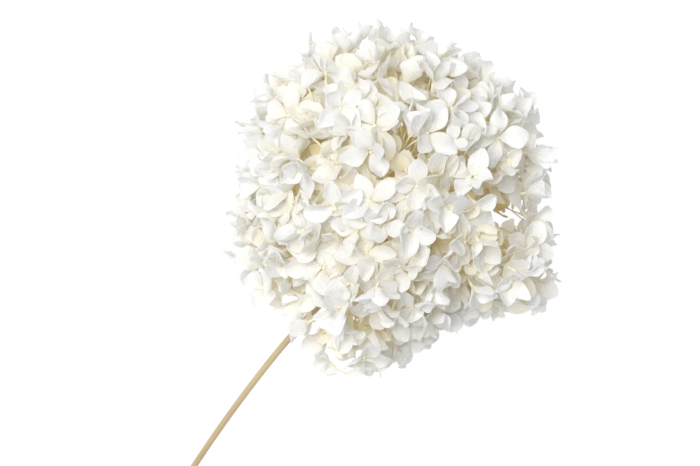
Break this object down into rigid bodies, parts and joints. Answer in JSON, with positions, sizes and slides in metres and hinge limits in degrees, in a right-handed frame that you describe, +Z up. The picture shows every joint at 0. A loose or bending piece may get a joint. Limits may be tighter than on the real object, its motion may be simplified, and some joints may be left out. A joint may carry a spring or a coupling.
{
  "type": "dried hydrangea",
  "caption": "Dried white mophead hydrangea lying on its side: a loose globe of papery florets on branching stalks, with a long bare cut stem, for vases and displays.",
  "frame": {"origin": "on the table, under the centre of the lying flower's bounding box", "axes": "+X along the stem, from its cut end towards the crown of the head; +Z up from the table; +Y sideways"},
  "size_m": [0.4094, 0.177, 0.1656],
  "materials": {
    "sepals": "papery, finely veined",
    "stalks": "matt, pale straw yellow",
    "stem": "satin, tan, with a fine lengthwise grain"
  },
  "bodies": {
    "root": {"stem": "stem", "twig": "stalks", "ray_1": "stalks", "ray_2": "stalks", "ray_3": "stalks", "ray_4": "stalks", "ray_5": "stalks", "ray_6": "stalks", "ray_7": "stalks", "ray_8": "stalks", "cluster_01": "sepals", "cluster_02": "sepals", "cluster_03": "sepals", "cluster_04": "sepals", "cluster_05": "sepals", "cluster_06": "sepals", "cluster_07": "sepals", "cluster_08": "sepals", "cluster_09": "sepals", "cluster_10": "sepals", "cluster_11": "sepals", "cluster_12": "sepals", "cluster_13": "sepals", "cluster_14": "sepals", "cluster_15": "sepals", "cluster_16": "sepals", "cluster_17": "sepals", "cluster_18": "sepals", "cluster_19": "sepals", "cluster_20": "sepals", "cluster_21": "sepals", "cluster_22": "sepals", "cluster_23": "sepals", "cluster_24": "sepals", "cluster_25": "sepals", "cluster_26": "sepals", "cluster_27": "sepals", "cluster_28": "sepals", "cluster_29": "sepals", "cluster_30": "sepals", "cluster_31": "sepals", "cluster_32": "sepals", "cluster_33": "sepals", "cluster_34": "sepals", "cluster_35": "sepals", "cluster_36": "sepals", "cluster_37": "sepals", "cluster_38": "sepals", "cluster_39": "sepals", "cluster_40": "sepals", "cluster_41": "sepals", "cluster_42": "sepals", "cluster_43": "sepals", "cluster_44": "sepals", "cluster_45": "sepals", "cluster_46": "sepals", "cluster_47": "sepals", "cluster_48": "sepals"}
  },
  "joints": []
}
